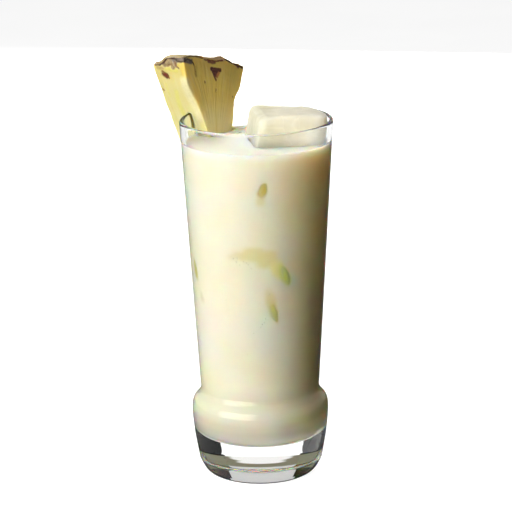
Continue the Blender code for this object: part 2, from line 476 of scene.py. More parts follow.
glass = {
    "rimRadius": 0.0365,
    "rimHeight": 0.1739,
    "rimRound": 0.0011,
    "wall": 0.0022,
    "neckRadius": 0.0285,
    "neckHeight": 0.0430,
    "bulgeRadius": 0.03285,
    "bulgeHeight": 0.0326,
    "bulgeWall": 0.0030,
    "bulgeTop": 0.0460,
    "flareStart": 0.0475,
    "heel": (0.0296, 0.0074),
    "footRadius": 0.0235,
    "dish": (
        (0.0, 0.0176),
        (0.0090, 0.0178),
        (0.0150, 0.0184),
        (0.0205, 0.0204),
        (0.0250, 0.0237),
        (0.0282, 0.0280),
    ),
    "freeBend": 1.26,
    "freeWall": 0.1640,  # from just above the drink
    "lipChords": 16,
    "footChords": 5,
    "flareChords": 28,
    "curveChords": 8,
    "turns": 192,
}


def outerRadius(height):
    span = glass["rimHeight"] - glass["rimRound"] - glass["neckHeight"]
    rise = (height - glass["neckHeight"]) / span
    return glass["neckRadius"] + (glass["rimRadius"] - glass["neckRadius"]) * rise


def innerRadius(height):
    return outerRadius(height) - glass["wall"]


def innerBulge():
    # Up the inside, from the dished floor through the bulge to the neck
    widest = glass["bulgeRadius"] - glass["bulgeWall"]
    return smoothRun(
        glass["dish"]
        + (
            (widest, glass["bulgeHeight"] - 0.0006),
            (widest - 0.0012, 0.0368),
            (innerRadius(glass["neckHeight"]) + 0.0001, 0.0405),
            (innerRadius(glass["bulgeTop"]) - 0.0002, glass["bulgeTop"]),
        ),
        glass["curveChords"],
    )


def outerBulge():
    # Down the outside, from the neck over the bulge to the heel, then in to the flat foot
    chords = glass["curveChords"]
    wall = smoothRun(
        (
            (outerRadius(glass["bulgeTop"]), glass["bulgeTop"]),
            (glass["neckRadius"], glass["neckHeight"] - 0.0006),
            (0.0297, 0.0398),
            (0.0320, 0.0370),
            (glass["bulgeRadius"], glass["bulgeHeight"]),
            (0.0319, 0.0210),
            (0.0307, 0.0134),
            glass["heel"],
        ),
        chords,
    )
    under = smoothRun(
        (
            glass["heel"],
            (0.0285, 0.0052),
            (0.0272, 0.0029),
            (0.0256, 0.0012),
            (glass["footRadius"], 0.0),
        ),
        chords,
    )
    return wall + under[1:]


def flareRun(radius, start, end):
    chords = glass["flareChords"]
    heights = [start + (end - start) * i / chords for i in range(chords + 1)]
    return [(radius(z), z) for z in heights]


def glassProfile():
    # Up the inside, over the round lip, down the outside and in under the foot
    rimLine = glass["rimRadius"] - glass["rimRound"]
    rimFoot = glass["rimHeight"] - glass["rimRound"]
    rounded, chords, rings = glass["rimRound"], glass["lipChords"], glass["footChords"]
    lip = []
    for i in range(chords + 1):
        turn = pi - pi * i / chords
        lip.append((rimLine + rounded * cos(turn), rimFoot + rounded * sin(turn)))
    below = rimFoot - 0.0006
    inside = innerBulge()[:-1] + flareRun(innerRadius, glass["flareStart"], below)
    outside = flareRun(outerRadius, below, glass["flareStart"]) + outerBulge()[1:]
    foot = [(glass["footRadius"] * i / rings, 0.0) for i in range(rings - 1, -1, -1)]
    return inside + lip + outside + foot


def glassFinish():
    finish, tree, shader = newFinish("clearGlassFinish")
    spot = objectSpot(tree)
    setShader(shader, Transmission_Weight=1.0, IOR=1.5, Specular_IOR_Level=0.5)
    tint = mixed(tree, grain(tree, spot, 40.0), (0.985, 0.995, 0.99), (1.0, 1.0, 1.0))
    tree.links.new(tint, shader.inputs["Base Color"])
    smears = stretched(tree, spot, (1.0, 1.0, 0.35))
    haze = ranged(tree, grain(tree, smears, 90.0, 5.0, 0.65), 0.52, 0.85, 0.0, 0.035)
    tree.links.new(haze, shader.inputs["Roughness"])
    addBump(tree, shader, grain(tree, smears, 55.0, 1.0), 0.06, 0.0006)
    return finish


def buildGlass():
    shell = spinProfile(drawProfile("clearGlass", glassProfile()), glass["turns"])
    finish = glassFinish()
    shell.data.materials.append(finish)
    thin = finish.copy()  # the free wall bends light less, so that its lip stays a thin pale line
    thin.name = "thinWallFinish"
    setShader(thin.node_tree.nodes["Principled BSDF"], IOR=glass["freeBend"])
    shell.data.materials.append(thin)
    for face in shell.data.polygons:
        if face.center.z > glass["freeWall"]:
            face.material_index = 1
    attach(shell, "root")
    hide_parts("glass")
    print("glass:", len(shell.data.polygons), "faces")


buildGlass()

drink = {
    "level": 0.1626,
    "intoWall": 0.00015,
    "meniscus": 0.0011,
    "meniscusWidth": 0.0026,
    "lit": (0.935, 0.902, 0.765),
    "shade": (0.915, 0.872, 0.690),
    "warm": (1.0, 0.945, 0.68),  # painted shade: a browner tint laid over the right-hand side
    "paintedShadeFrom": (0.003, 0.028),  # own X
    "paintedShadeBulge": (0.915, 0.925, 0.90),  # painted shade laid over the swollen part
    "paintedShadeBulgeFade": (0.041, 0.050),
    "underside": (0.0255, 0.0285),
    "froth": (0.955, 0.935, 0.830),
    "frothDeep": 0.0035,
    "frothUp": 0.0002,
    "film": 0.001,  # how deep its gloss and foam begin
    "spread": 0.012,
    "wander": 0.0022,  # how far the spots' edges stray
    "wallRadius": 0.030,  # what the spots' azimuths are unrolled at
    "topChords": 14,
    "meniscusChords": 8,
    "turns": 160,
}

# Fruit under the surface, next to the wall: azimuth in degrees to the right of the front,
# height, half width and half height in mm, turn in degrees, colour, strength, soft edge
glows = (
    (4.4, 146.3, 2.9, 5.2, -14, (0.78, 0.58, 0.16), 0.80, 0.6),
    (2.4, 141.6, 3.6, 4.6, -6, (0.86, 0.75, 0.38), 0.62, 0.9),
    (-18.0, 114.6, 6.6, 3.2, 6, (0.78, 0.71, 0.46), 0.66, 0.75),
    (-5.0, 115.4, 8.6, 5.2, 2, (0.80, 0.72, 0.40), 0.80, 0.65),
    (7.5, 113.2, 7.6, 6.0, 30, (0.83, 0.75, 0.38), 0.84, 0.65),
    (18.0, 107.6, 5.2, 7.6, 28, (0.97, 0.87, 0.34), 0.84, 0.7),
    (23.5, 104.8, 3.4, 8.0, 20, (1.0, 0.90, 0.24), 0.84, 0.7),
    (11.0, 91.6, 3.9, 9.8, 14, (0.83, 0.76, 0.36), 0.76, 0.8),
    (14.0, 86.5, 2.6, 7.4, 16, (0.88, 0.76, 0.22), 0.80, 0.75),
    (-70.5, 103.5, 2.6, 7.5, 14, (0.62, 0.57, 0.20), 0.75, 0.7),
    (-61.8, 90.9, 2.4, 4.5, 14, (0.66, 0.63, 0.42), 0.45, 0.95),
)


def drinkProfile():
    # Out along the surface, up the meniscus, then down just inside the wall to the dished floor
    into, level = drink["intoWall"], drink["level"]
    flat, curl = drink["topChords"], drink["meniscusChords"]
    start = innerRadius(level) + into - drink["meniscusWidth"]
    profile = [(start * i / flat, level) for i in range(flat + 1)]
    for i in range(1, curl + 1):
        up = drink["meniscus"] * (i / curl) ** 2.6
        profile.append((start + drink["meniscusWidth"] * i / curl, level + up))
    profile += flareRun(lambda z: innerRadius(z) + into, level, glass["flareStart"])[1:]
    for radius, height in reversed(innerBulge()[:-1]):
        out = min(1.0, radius / 0.029)
        profile.append((radius + into * out, height - into * (1 - out)))
    return profile


def unrolledSpot(tree, spot, axes):
    # The drink's side laid flat, with its edges strayed a little
    azimuth = maths(tree, "ARCTAN2", axes[0], maths(tree, "MULTIPLY", axes[1], -1.0))
    around = maths(tree, "MULTIPLY", azimuth, drink["wallRadius"])
    unrolled = addNode(tree, "CombineXYZ", {0: around, 1: axes[2]}).outputs[0]
    warp = addNode(tree, "TexNoise", {"Vector": spot, "Scale": 260.0, "Detail": 2.0}).outputs["Color"]
    nudge = vectors(tree, "SUBTRACT", warp, (0.5, 0.5, 0.5))
    return vectors(tree, "ADD", unrolled, vectors(tree, "SCALE", nudge, drink["wander"]))


def drinkColour(tree, spot, axes):
    cloud = grain(tree, spot, 45.0, 3.0)
    colour = mixed(tree, ranged(tree, cloud, 0.3, 0.7), drink["shade"], drink["lit"])
    # Painted shade: the right-hand side is tinted browner, as where the light falls off
    paintedShadeShare = ranged(tree, axes[0], *drink["paintedShadeFrom"])
    colour = mixed(tree, paintedShadeShare, colour, drink["warm"], "MULTIPLY")
    # Painted shade: the swollen part low down is darker
    paintedShadeLow = ranged(tree, axes[2], *drink["paintedShadeBulgeFade"], 1.0, 0.0)
    colour = mixed(tree, paintedShadeLow, colour, drink["paintedShadeBulge"], "MULTIPLY")
    wavy = unrolledSpot(tree, spot, axes)
    for azimuth, height, wide, high, turn, tone, strength, soft in glows:
        place = {
            "Vector": wavy,
            "Location": (radians(azimuth) * drink["wallRadius"], height / 1000, 0.0),
            "Rotation": (0, 0, radians(turn)),
            "Scale": (wide / 1000, high / 1000, 1),
        }
        seen = addNode(tree, "Mapping", place, vector_type="TEXTURE").outputs[0]
        reach = lengthOf(tree, vectors(tree, "MULTIPLY", seen, (1, 1, 0)))
        colour = mixed(tree, ranged(tree, reach, 1.0 - soft, 1.0, strength, 0.0), colour, tone)
    # Paler froth gathers under the surface and on it
    level = drink["level"]
    froth = ranged(tree, axes[2], level - drink["frothDeep"], level + drink["frothUp"])
    specks = ranged(tree, grain(tree, spot, 320.0, 4.0, 0.6), 0.35, 0.65, 0.8, 1.0)
    return mixed(tree, maths(tree, "MULTIPLY", froth, specks), colour, drink["froth"])


def drinkFinish():
    finish, tree, shader = newFinish("creamyDrinkFinish")
    spot = objectSpot(tree)
    axes = axesOf(tree, spot)
    tree.links.new(drinkColour(tree, spot, axes), shader.inputs["Base Color"])
    setShader(shader, Subsurface_Weight=1.0, Subsurface_Scale=drink["spread"], IOR=1.36)
    setShader(shader, Subsurface_Radius=(1.0, 0.48, 0.16), Coat_Roughness=0.03, Coat_IOR=1.5)
    # It touches the glass, so only its top is glossy, and its underside where it mirrors the foot
    level = drink["level"]
    film = (level - drink["film"], level)
    tree.links.new(ranged(tree, axes[2], *film, 0.0, 0.25), shader.inputs["Specular IOR Level"])
    tree.links.new(ranged(tree, axes[2], *drink["underside"], 1.0, 0.0), shader.inputs["Coat Weight"])
    gloss = ranged(tree, grain(tree, spot, 60.0, 2.0), 0.3, 0.7, 0.32, 0.40)
    tree.links.new(gloss, shader.inputs["Roughness"])
    cells = addNode(tree, "TexVoronoi", {"Vector": spot, "Scale": 420.0}, feature="SMOOTH_F1")
    foam = maths(tree, "MULTIPLY", cells.outputs["Distance"], ranged(tree, axes[2], *film))
    addBump(tree, shader, foam, 0.02, 0.00003)
    return finish


def buildDrink():
    body = spinProfile(drawProfile("creamyDrink", drinkProfile()), drink["turns"])
    body.data.materials.append(drinkFinish())
    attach(body, "root")
    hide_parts("drink")
    print("drink:", len(body.data.polygons), "faces")


buildDrink()

ice = {
    "voxel": 0.00055,
    "melt": 6,
    "dents": 0.0003,
    "body": (0.545, 0.535, 0.435),
    "core": (0.63, 0.62, 0.52),
    "clear": (0.575, 0.565, 0.445),
    "paintedLightRight": (1.66, 1.64, 1.63),  # painted light, towards its lower right end
    "paintedShadeLeft": (0.72, 0.73, 0.70),  # painted shade, towards its left end
    "paintedLightRightFrom": (0.010, 0.028),  # own X
    "paintedLightRightTo": (0.164, 0.174),  # height
    "paintedShadeLeftTo": (0.001, 0.012),  # own X
    "crack": (0.86, 0.85, 0.77),
    "depth": 0.034,  # how far light spreads in it
    "dentSize": 0.011,
}


def iceColour(tree, spot):
    cloud = ranged(tree, grain(tree, spot, 60.0, 5.0, 0.6), 0.35, 0.68)
    colour = mixed(tree, cloud, ice["body"], ice["core"])
    streaks = stretched(tree, spot, (1, 1, 0.25), (0.2, 0.1, 0.3))
    veil = ranged(tree, grain(tree, streaks, 240.0, 4.0, 0.6), 0.50, 0.72)
    colour = mixed(tree, maths(tree, "MULTIPLY", veil, 0.6), colour, ice["clear"])
    cells = addNode(tree, "TexVoronoi", {"Vector": spot, "Scale": 95.0}, feature="DISTANCE_TO_EDGE")
    line = ranged(tree, cells.outputs["Distance"], 0.0, 0.03, 0.12, 0.0)
    colour = mixed(tree, line, colour, ice["crack"])
    axes = axesOf(tree, spot)
    # Painted light brightens the lower right end, and painted shade darkens the left end
    low = ranged(tree, axes[2], *ice["paintedLightRightTo"], 1.0, 0.0)
    end = maths(tree, "MULTIPLY", ranged(tree, axes[0], *ice["paintedLightRightFrom"]), low)
    colour = mixed(tree, end, colour, ice["paintedLightRight"], "MULTIPLY")
    left = ranged(tree, axes[0], *ice["paintedShadeLeftTo"], 1.0, 0.0)
    return mixed(tree, left, colour, ice["paintedShadeLeft"], "MULTIPLY")


def iceFinish():
    finish, tree, shader = newFinish("cloudyIceFinish")
    spot = objectSpot(tree)
    tree.links.new(iceColour(tree, spot), shader.inputs["Base Color"])
    setShader(shader, Subsurface_Weight=1.0, Subsurface_Scale=ice["depth"], IOR=1.31)
    setShader(shader, Subsurface_Radius=(1.0, 0.9, 0.7), Coat_Weight=0.10, Coat_Roughness=0.25)
    gloss = ranged(tree, grain(tree, spot, 150.0, 3.0), 0.3, 0.7, 0.28, 0.5)
    tree.links.new(gloss, shader.inputs["Roughness"])
    addBump(tree, shader, grain(tree, spot, 260.0, 3.0), 0.08, 0.0004)
    return finish


def buildIce():
    block = copyNode("ice_block", "cloudyIce")
    addEven(block, ice["voxel"], ice["melt"])
    dents = bpy.data.textures.new("iceDents", "CLOUDS")
    dents.noise_scale = ice["dentSize"]
    dents.noise_depth = 2
    relief = block.modifiers.new("dents", "DISPLACE")
    relief.texture = dents
    relief.texture_coords = "LOCAL"
    relief.strength = ice["dents"] * 2
    relief.mid_level = 0.5
    applyAll(block)
    bpy.ops.object.shade_smooth()
    block.data.materials.append(iceFinish())
    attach(block, "root")
    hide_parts("ice_block")
    print("ice:", len(block.data.polygons), "faces")


buildIce()

seatAzimuth = radians(141.8)
fruit = {
    "seat": (0.0354 * cos(seatAzimuth), 0.0354 * sin(seatAzimuth), 0.1739),
    "turn": (radians(10.7), radians(8.8), seatAzimuth),
    "middle": (-0.0035, -0.0265),  # the middle of the fruit, in the slice's own Y and Z
    "rind": 0.0519,
    "lip": (0.0047, 0.0030, 0.0160, 0.0040, 0.0050),  # rise, start, length, shoulder, fall
    "voxel": 0.00034,
    "soften": 3,
    "skin": 0.0011,
    "crag": 0.0006,
    "thread": 0.00012,
    "sink": 0.00022,  # how deep a dark mark lies
    "stray": 0.00022,  # how far a mark's edge wanders
    "flesh": (0.52, 0.46, 0.19),
    "pale": (0.57, 0.54, 0.32),
    "deep": (0.44, 0.35, 0.08),
    "green": (0.45, 0.43, 0.10),
    "shadedFaceFade": (-0.0076, -0.0040),  # own X, where the painted shade of the front flat face fades out
    "shadedFaceFlesh": (0.68, 0.54, 0.13),  # the front flat face, painted deeper than the side cut as painted shade
    "shadedFaceDeep": (0.47, 0.33, 0.05),
    "shadedFaceLowLight": (0.68, 0.61, 0.27),  # painted light on the front flat face low down, by the rim
    "edge": (0.0083, 0.0087, 0.52),  # where the soft edge runs: own X, then Y at the rim and its slope
    "edgeTop": 0.0205,
    "edgeReach": 0.003,
    "rounding": 60,
    "frontX": -8.3,  # the flat face that looks to the front, in millimetres
}

# Marks on the slice in its own millimetres: colour, half width, soft edge, the way each runs.
# A point of two numbers lies on the front face.
marks = (
    # The first mark, a pale cream strip along the soft edge, is a painted highlight
    ((0.57, 0.52, 0.28), 1.2, 2.6, ((-6.4, 17.5, 13), (-6.0, 12.5, 3), (-6.4, 7.5, -5))),
    (
        (0.53, 0.49, 0.14), 0.5, 1.6,
        ((1.3, 14.2, 8.5), (2.3, 12.3, 5.7), (2.9, 9.9, 1.9), (2.4, 8.0, -2)),
    ),
    ((0.53, 0.48, 0.15), 0.3, 1.3, ((6.5, 16.0, 12.0), (6.8, 13.2, 6.5))),
    ((0.47, 0.42, 0.1), 0.5, 1.2, ((6.0, 19.4, 20.6), (1.0, 19.2, 19.4), (-3.0, 19.0, 18.2))),
    (
        (0.24, 0.175, 0.08), 1.3, 0.9,
        ((4.0, 19.6, 21.8), (1.0, 19.8, 22.4), (-2.2, 19.7, 22.0), (-1.2, 19.4, 20.6)),
    ),
    ((0.25, 0.19, 0.08), 1.1, 0.7, ((7.6, 19.0, 22.6), (5.2, 19.8, 24.2), (2.7, 19.1, 25.2))),
    (
        (0.4, 0.32, 0.17), 1.2, 0.7,
        ((2.7, 18.6, 25.4), (-0.1, 17.2, 26.0), (-3.1, 16.9, 26.0), (-5.4, 15.8, 25.7)),
    ),
    ((0.22, 0.17, 0.07), 0.8, 0.6, ((-8.1, 17.8, 25.2), (-8.4, 13.7, 25.7), (10.7, 25.9), (8.4, 25.4))),
    (
        (0.13, 0.1, 0.075), 1.0, 0.7,
        ((-2.2, 19.8, 23.4), (-5.0, 19.8, 23.2), (-8.2, 19.3, 23.2), (16.4, 22.9), (14.2, 22.6)),
    ),
    ((0.17, 0.09, 0.03), 0.3, 0.7, ((-2.2, 19.7, 22.2), (-2.6, 19.4, 20.9))),
    ((0.16, 0.08, 0.03), 0.2, 0.6, ((-2.9, 19.3, 20.3), (-4.4, 19.0, 19.4))),
    ((0.2, 0.12, 0.05), 0.25, 0.6, ((0.2, 19.5, 21.3), (2.2, 19.4, 20.7))),
    ((0.13, 0.07, 0.03), 0.2, 0.5, ((5.4, 19.6, 21.9), (4.0, 19.6, 22.4))),
    # The near-black wavy line below runs under the rind's lip and on to the front face: partly the rind's
    # dark edge, partly painted shadow under the lip
    (
        (0.045, 0.018, 0.01), 0.34, 0.3,
        (
            (9.6, 19.4, 21.5), (6.9, 19.7, 21.4), (3.8, 19.8, 23.2), (2.1, 19.8, 24.5),
            (-0.3, 19.8, 24.3), (-2.3, 19.8, 24.0),
        ),
    ),
    (
        (0.05, 0.035, 0.02), 0.25, 0.4,
        (
            (-2.3, 19.8, 24.0), (-4.1, 19.8, 22.6), (-7.1, 19.8, 22.2), (-8.4, 19.3, 22.4),
            (16.4, 23.8), (13.6, 22.8), (11.6, 20.4), (11.2, 18.6),
        ),
    ),
    ((0.4, 0.3, 0.06), 0.3, 1.2, ((11.4, 20.0), (10.8, 16.0))),
    (
        (0.5, 0.36, 0.22), 0.45, 0.4,
        ((4.8, 24.9), (1.8, 24.8), (-2.7, 24.5), (-8.2, -7.3, 24.6), (-10.9, 24.1)),
    ),
    ((0.12, 0.03, 0.014), 0.22, 0.35, ((4.4, 23.8), (-0.4, 23.4), (-4.2, 23.2), (-9.4, 23.7))),
    ((0.16, 0.06, 0.02), 0.3, 0.7, ((1.5, 23.0), (-1.5, 22.4), (-3.5, 22.6))),
    (
        (0.05, 0.022, 0.012), 0.28, 0.3,
        ((-10.9, 24.2), (-14.6, 23.2), (-19.2, 21.8), (-22.3, 21.0), (-25.3, 20.2)),
    ),
    ((0.1, 0.03, 0.012), 0.35, 0.5, ((-20.6, 21.2), (-21.2, 20.7))),
    ((0.08, 0.026, 0.008), 1.0, 1.0, ((5.8, 17.8, 17.0), (4.2, 17.6, 16.2))),
    ((0.13, 0.05, 0.016), 0.3, 0.6, ((3.6, 17.5, 15.2), (3.2, 17.4, 15.0))),
    ((0.12, 0.02, 0.012), 0.35, 0.7, ((5.3, 17.7, 16.9), (4.6, 17.7, 16.6))),
    ((0.22, 0.12, 0.04), 0.4, 0.7, ((6.3, 18.4, 18.4), (5.9, 18.3, 18.0))),
    ((0.36, 0.28, 0.1), 0.5, 1.0, ((8.4, 19.3, 20.4), (6.6, 19.2, 20.0), (5.2, 19.1, 19.9))),
    ((0.085, 0.022, 0.012), 0.75, 0.5, ((-0.9, 19.4), (-7.2, 19.0))),
    ((0.085, 0.022, 0.012), 0.8, 0.5, ((-2.0, 18.2), (-5.6, 17.8))),
    ((0.11, 0.03, 0.015), 0.7, 0.5, ((-2.7, 16.8), (-4.6, 16.4))),
    ((0.14, 0.045, 0.018), 0.35, 0.5, ((-2.9, 15.8), (-3.9, 14.3))),
    ((0.4, 0.17, 0.05), 0.3, 0.7, ((-6.2, 17.6), (-4.8, 15.9))),
    ((0.2, 0.11, 0.03), 0.3, 0.5, ((4.2, 13.3), (4.0, 12.9))),
    ((0.24, 0.12, 0.03), 0.16, 0.4, ((-4.1, 9.8), (-4.0, 8.8))),
    ((0.2, 0.1, 0.03), 0.18, 0.3, ((-16.3, 6.6), (-16.4, 6.2))),
    ((0.24, 0.14, 0.04), 0.2, 0.4, ((9.8, 14.0, 10.2), (9.4, 13.8, 9.6))),
)


def sliceSpace():
    turn = Matrix.Translation(fruit["seat"]) @ (
        Matrix.Rotation(fruit["turn"][2], 4, "Z")
        @ Matrix.Rotation(fruit["turn"][1], 4, "Y")
        @ Matrix.Rotation(fruit["turn"][0], 4, "X")
    )
    return turn.inverted()


def blendIn(value):
    share = np.clip(value, 0.0, 1.0)
    return share * share * (3 - 2 * share)


def rindHeight(across, side):
    # The same arc and lip as in the part's source
    rise, start, length, shoulder, fall = fruit["lip"]
    arc = np.sqrt(np.maximum(fruit["rind"] ** 2 - (side - fruit["middle"][0]) ** 2, 0)) + fruit["middle"][1]
    outward = blendIn((across - shoulder) / fall)
    return arc + rise * blendIn((side - start) / length) * (1 - 0.5 * outward)


def nearPath(spots, path, wide, soft):
    # 1 along the path, falling to 0 past its soft edge
    best = np.full(len(spots), 1.0)
    points = [np.array(point if len(point) == 3 else (fruit["frontX"], *point)) / 1000 for point in path]
    for start, end in zip(points, points[1:]):
        run = end - start
        share = np.clip((spots - start) @ run / (run @ run), 0.0, 1.0)
        away = np.linalg.norm(spots - start - share[:, None] * run, axis=1)
        best = np.minimum(best, away)
    return blendIn((wide / 1000 + soft / 1000 - best) / (soft / 1000))


def fleshColours(tree):
    # Fibres that run from the core to the rind, in the slice's own space
    spot = objectSpot(tree)
    seat = {"Vector": spot, "Location": fruit["seat"], "Rotation": fruit["turn"]}
    axes = axesOf(tree, addNode(tree, "Mapping", seat, vector_type="TEXTURE").outputs[0])
    side = maths(tree, "SUBTRACT", axes[1], fruit["middle"][0])
    up = maths(tree, "SUBTRACT", axes[2], fruit["middle"][1])
    angle = maths(tree, "MULTIPLY", maths(tree, "ARCTAN2", side, up), 0.038)
    squares = maths(tree, "MULTIPLY_ADD", side, side, maths(tree, "MULTIPLY", up, up))
    reach = maths(tree, "SQRT", squares)
    along = maths(tree, "MULTIPLY", reach, 0.10)
    fibres = addNode(tree, "CombineXYZ", {0: axes[0], 1: angle, 2: along}).outputs[0]
    core = ranged(tree, reach, 0.012, 0.036)
    colour = mixed(tree, core, fruit["pale"], fruit["flesh"])
    # Painted shade: the front flat face is deeper and more ochre than the side cut, less so low down, and
    # painted light makes its foot by the rim paler
    flat = ranged(tree, axes[0], *fruit["shadedFaceFade"], 1.0, 0.0)
    foot = maths(tree, "MULTIPLY", flat, ranged(tree, axes[2], -0.012, 0.008, 1.0, 0.0))
    flat = maths(tree, "MULTIPLY", flat, ranged(tree, axes[2], -0.010, 0.010, 0.35, 1.0))
    colour = mixed(tree, foot, mixed(tree, flat, colour, fruit["shadedFaceFlesh"]), fruit["shadedFaceLowLight"])
    deep = mixed(tree, flat, fruit["deep"], fruit["shadedFaceDeep"])
    threads = grain(tree, fibres, 800.0, 4.0, 0.65)
    colour = mixed(tree, ranged(tree, threads, 0.45, 0.75, 0.0, 0.35), colour, fruit["pale"])
    strands = grain(tree, fibres, 300.0, 3.0)
    colour = mixed(tree, ranged(tree, strands, 0.52, 0.78, 0.0, 0.45), colour, deep)
    unripe = ranged(tree, grain(tree, spot, 70.0, 2.0), 0.5, 0.75, 0.0, 0.35)
    colour = mixed(tree, unripe, colour, fruit["green"])
    near = ranged(tree, reach, fruit["rind"] - 0.010, fruit["rind"], 0.0, 0.45)
    return mixed(tree, near, colour, deep), threads, spot


def rindColours(tree, spot):
    # Cream fibres and brown, grey and olive patches
    patches = grain(tree, spot, 150.0, 4.0, 0.6)
    colour = mixed(tree, ranged(tree, patches, 0.36, 0.64), (0.15, 0.10, 0.045), (0.38, 0.29, 0.13))
    grey = ranged(tree, grain(tree, spot, 260.0, 3.0), 0.50, 0.68, 0.0, 0.8)
    colour = mixed(tree, grey, colour, (0.30, 0.26, 0.20))
    crest = ranged(tree, grain(tree, spot, 480.0, 4.0, 0.65), 0.56, 0.70, 0.0, 0.85)
    return mixed(tree, crest, colour, (0.60, 0.49, 0.32))


def fruitFinish():
    finish, tree, shader = newFinish("pineappleFinish")
    flesh, threads, spot = fleshColours(tree)
    skin = addNode(tree, "Attribute", attribute_name="skinShare").outputs["Fac"]
    edge = maths(tree, "SUBTRACT", skin, 0.25)
    edge = maths(tree, "MULTIPLY_ADD", grain(tree, spot, 700.0, 3.0), 0.5, edge)
    share = ranged(tree, edge, 0.35, 0.65)
    colour = mixed(tree, share, flesh, rindColours(tree, spot))
    painted = addNode(tree, "Attribute", attribute_name="markColour").outputs["Color"]
    marked = addNode(tree, "Attribute", attribute_name="markShare").outputs["Fac"]
    bright = addNode(tree, "RGBToBW", {0: painted}).outputs[0]
    strength = ranged(tree, bright, 0.12, 0.40, 0.6, 0.10)  # dark marks are mottled most
    mottle = ranged(tree, grain(tree, spot, 700.0, 4.0, 0.65), 0.3, 0.7, 0.3, 1.5)
    mottled = mixed(tree, strength, painted, mottle, "MULTIPLY")
    colour = mixed(tree, marked, colour, mottled)
    tree.links.new(colour, shader.inputs["Base Color"])
    setShader(shader, Subsurface_Scale=0.006, Subsurface_Radius=(1.0, 0.7, 0.25), IOR=1.36)
    setShader(shader, Coat_Weight=0.2, Coat_Roughness=0.25)
    tree.links.new(ranged(tree, marked, 0.0, 0.8, 0.75, 0.05), shader.inputs["Subsurface Weight"])
    wet = ranged(tree, threads, 0.3, 0.7, 0.30, 0.5)
    dry = maths(tree, "MAXIMUM", wet, maths(tree, "MULTIPLY", share, 0.8))
    tree.links.new(dry, shader.inputs["Roughness"])
    rough = grain(tree, spot, 1100.0, 4.0, 0.7)
    height = maths(tree, "MULTIPLY_ADD", rough, maths(tree, "MULTIPLY", share, 1.5), threads)
    addBump(tree, shader, height, 0.25, 0.0004)
    return finish


def roundEdge(wedge):
    # The long edge between the flat face and the side cut is soft above the rim
    toOwn = sliceSpace()
    across, outward, slope = fruit["edge"]
    top, fade = fruit["edgeTop"], fruit["edgeReach"]
    group = wedge.vertex_groups.new(name="softEdge")
    for vertex in wedge.data.vertices:
        own = toOwn @ vertex.co
        reach = hypot(own.x + across, own.y - outward - slope * own.z)
        weight = 1 - (reach - fade) / fade
        if weight > 0 and 0.0 < own.z < top:
            ends = min(1, own.z / fade, (top - own.z) / fade)
            group.add([vertex.index], min(weight, 1) * ends, "REPLACE")
    soften = wedge.modifiers.new("rounding", "SMOOTH")
    soften.iterations = fruit["rounding"]
    soften.vertex_group = group.name
    applyAll(wedge)


def readVertices(mesh, name):
    values = np.empty(len(mesh.vertices) * 3, dtype=np.float32)
    mesh.vertices.foreach_get(name, values)
    return values.reshape(-1, 3).astype(float)


def buildSlice():
    wedge = copyNode("pineapple_slice", "pineappleSlice")
    addEven(wedge, fruit["voxel"], fruit["soften"])
    applyAll(wedge)
    roundEdge(wedge)
    mesh = wedge.data
    count = len(mesh.vertices)
    spots, normals = readVertices(mesh, "co"), readVertices(mesh, "normal")
    toOwn = np.array(sliceSpace())
    own = spots @ toOwn[:3, :3].T + toOwn[:3, 3]
    ownNormals = normals @ toOwn[:3, :3].T
    side, up = own[:, 1] - fruit["middle"][0], own[:, 2] - fruit["middle"][1]
    angle, reach = np.arctan2(side, up), np.hypot(side, up)
    below = rindHeight(own[:, 0], own[:, 1]) - own[:, 2]

    # Fine threads on the flesh, crags on the rind
    strands = np.stack((own[:, 0] * 900, angle * 34, reach * 110), 1)
    thread = np.array([noise.noise(Vector(s)) for s in strands])
    crag = np.array([noise.turbulence(Vector(s) * 260, 3, True) for s in own])
    top = blendIn((ownNormals[:, 2] - 0.25) / 0.4) * blendIn((0.004 - below) / 0.003)
    skin = np.maximum(blendIn((fruit["skin"] - below) / 0.0005), top)
    lift = fruit["thread"] * thread * (1 - top) + fruit["crag"] * (crag - 0.45) * top

    # The marks are laid over each other, and the dark ones sink in a little
    wander = np.array([noise.noise_vector(Vector(s) * 700) for s in own]) * fruit["stray"]
    colour, share = np.zeros((count, 3)), np.zeros(count)
    for tone, wide, soft, path in marks:
        here = nearPath(own + wander, path, wide, soft)
        colour = colour * (1 - here[:, None]) + np.array(tone) * here[:, None]
        share = np.maximum(share, here)
        if tone[0] < 0.3:
            lift -= fruit["sink"] * here
    spots += normals * lift[:, None]
    mesh.vertices.foreach_set("co", spots.astype(np.float32).ravel())
    painted = mesh.attributes.new("markColour", "FLOAT_COLOR", "POINT")
    strength = np.maximum(share, 0.001)[:, None]
    shown = np.concatenate((np.clip(colour / strength, 0, 1), np.ones((count, 1))), 1)
    painted.data.foreach_set("color", shown.astype(np.float32).ravel())
    for name, values in (("markShare", share), ("skinShare", skin)):
        mesh.attributes.new(name, "FLOAT", "POINT").data.foreach_set("value", values.astype(np.float32))
    mesh.update()
    mesh.materials.append(fruitFinish())
    choose(wedge)
    bpy.ops.object.shade_smooth()
    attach(wedge, "root")
    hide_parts("pineapple_slice")
    print("slice:", len(mesh.polygons), "faces")


buildSlice()

